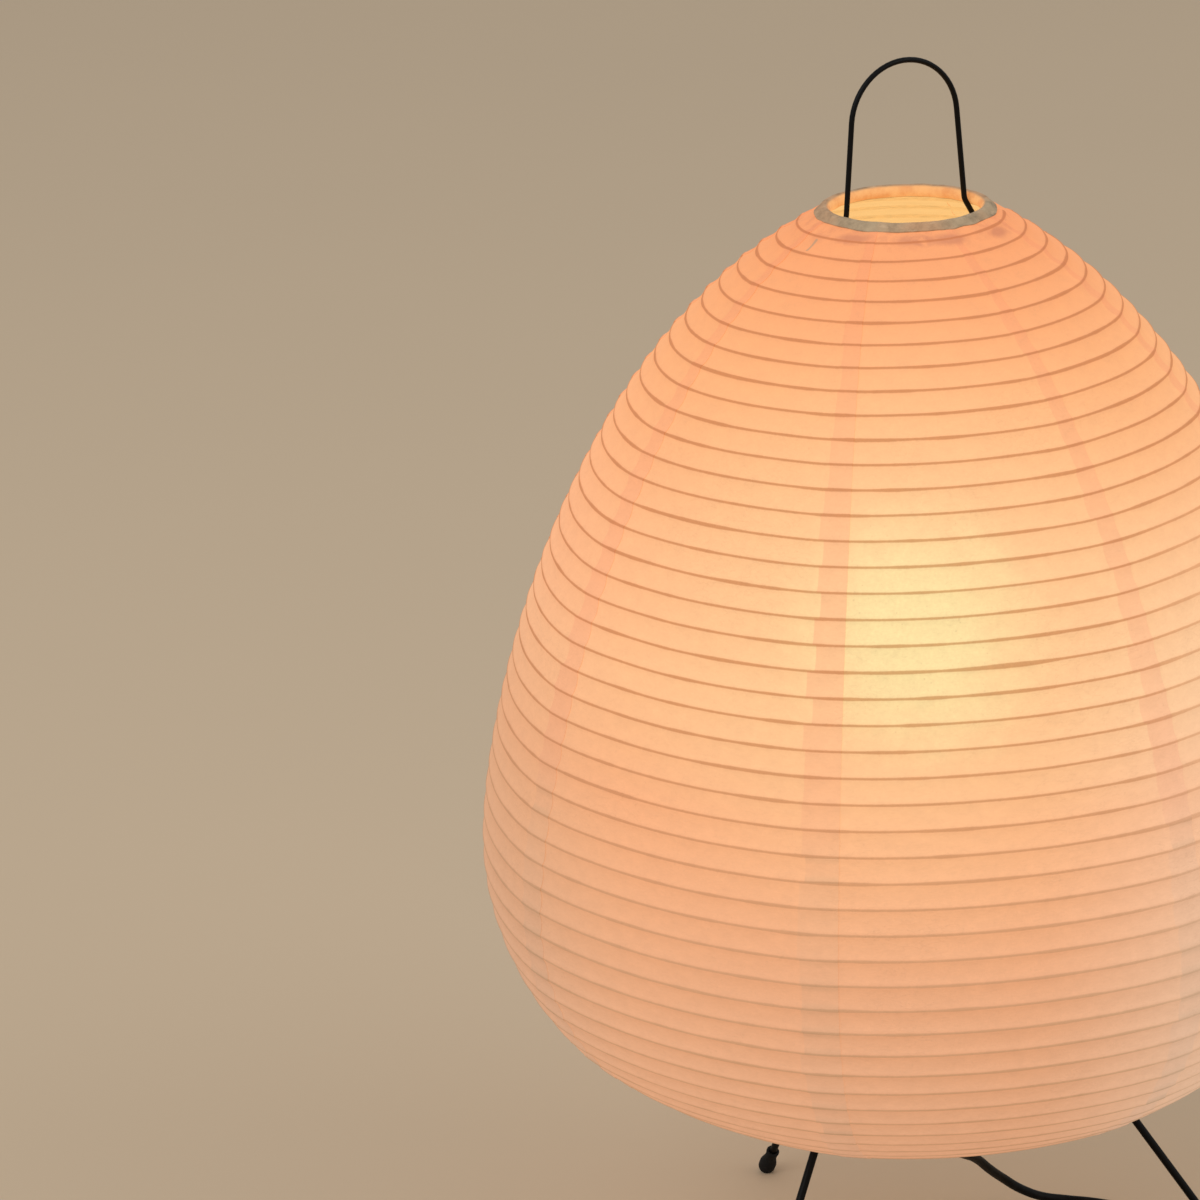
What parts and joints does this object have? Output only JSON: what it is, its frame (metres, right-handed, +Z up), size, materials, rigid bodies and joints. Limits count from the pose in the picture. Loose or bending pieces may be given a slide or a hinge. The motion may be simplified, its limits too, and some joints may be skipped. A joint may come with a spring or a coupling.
{
  "type": "table lamp",
  "caption": "Egg-shaped paper lantern lamp on a spiral bamboo rib, held by a wire stretcher with a carrying loop and three splayed wire legs.",
  "frame": {"origin": "on the table, midway between the three feet, on the shade's axis", "axes": "+Z up along the shade's axis, +X to the right and +Y away from the viewer of the picture"},
  "size_m": [0.259, 0.259, 0.394],
  "materials": {
    "paper": "translucent handmade paper with long fibres",
    "bamboo": "split bamboo, unvarnished",
    "wrap_paper": "several layers of pasted paper",
    "black_wire": "satin black",
    "black_steel": "satin black",
    "brass": "turned, slightly dull",
    "rubber": "matte",
    "black_plastic": "fine moulded texture",
    "gloss_black": "gloss",
    "soft_plastic": "soft moulded",
    "cord": "smooth jacket",
    "porcelain": "unglazed",
    "solder": "solder grey",
    "black_glass": "dark vitrite",
    "screw_cap": "rolled thread",
    "frosted_glass": "frosted, lit warm white",
    "screw_steel": "plated",
    "pin_metal": "nickel plated"
  },
  "bodies": {
    "root": {"paper_gore_1": "paper", "paper_gore_2": "paper", "paper_gore_3": "paper", "paper_gore_4": "paper", "paper_gore_5": "paper", "paper_gore_6": "paper", "paper_gore_7": "paper", "paper_gore_8": "paper", "bamboo_rib": "bamboo", "top_hoop": "bamboo", "top_wrap": "wrap_paper", "bottom_hoop": "bamboo", "bottom_wrap": "wrap_paper", "stretcher_wire": "black_wire", "wire_sleeves": "black_wire", "hub_plate": "black_steel", "hub_nut": "brass", "nipple_tube": "brass", "leg_front": "black_wire", "leg_right": "black_wire", "leg_rear": "black_wire", "ring_hooks": "black_wire", "foot_front": "rubber", "foot_right": "rubber", "foot_rear": "rubber", "holder_cap": "black_plastic", "holder_insert": "porcelain", "holder_contact": "brass", "holder_shell": "brass", "holder_body": "black_plastic", "cord_relief": "soft_plastic", "cord_lead": "cord", "switch_base": "black_plastic", "switch_cover": "black_plastic", "switch_screws": "screw_steel", "cord_tail": "cord", "cord_coil": "cord", "cord_tie": "soft_plastic", "cord_end": "cord", "plug_body": "soft_plastic", "plug_pins": "pin_metal", "pin_sleeves": "soft_plastic"},
    "bulb_lift": {"bulb_contact": "solder"},
    "bulb": {"bulb_insulator": "black_glass", "bulb_cap": "screw_cap", "bulb_glass": "frosted_glass"},
    "rocker": {"switch_rocker": "gloss_black"}
  },
  "joints": [
    {"name": "bulb_rise", "type": "slide", "parent": "root", "child": "bulb_lift", "axis": [0, 0, 1], "range_m": [0, 0.0182]},
    {"name": "bulb_turn", "type": "hinge", "parent": "bulb_lift", "child": "bulb", "pos_m": [0, 0, 0.15], "axis": [0, 0, 1], "range_deg": [0, 1800]},
    {"name": "rocker_tilt", "type": "hinge", "parent": "root", "child": "rocker", "pos_m": [0.066, -0.046, 0.0125], "axis": [0.866, -0.5, 0], "range_deg": [0, 18]}
  ],
  "couplings": [
    {"joint": "bulb_rise", "follows": "bulb_turn", "m_per_rad": 0.00057757}
  ]
}
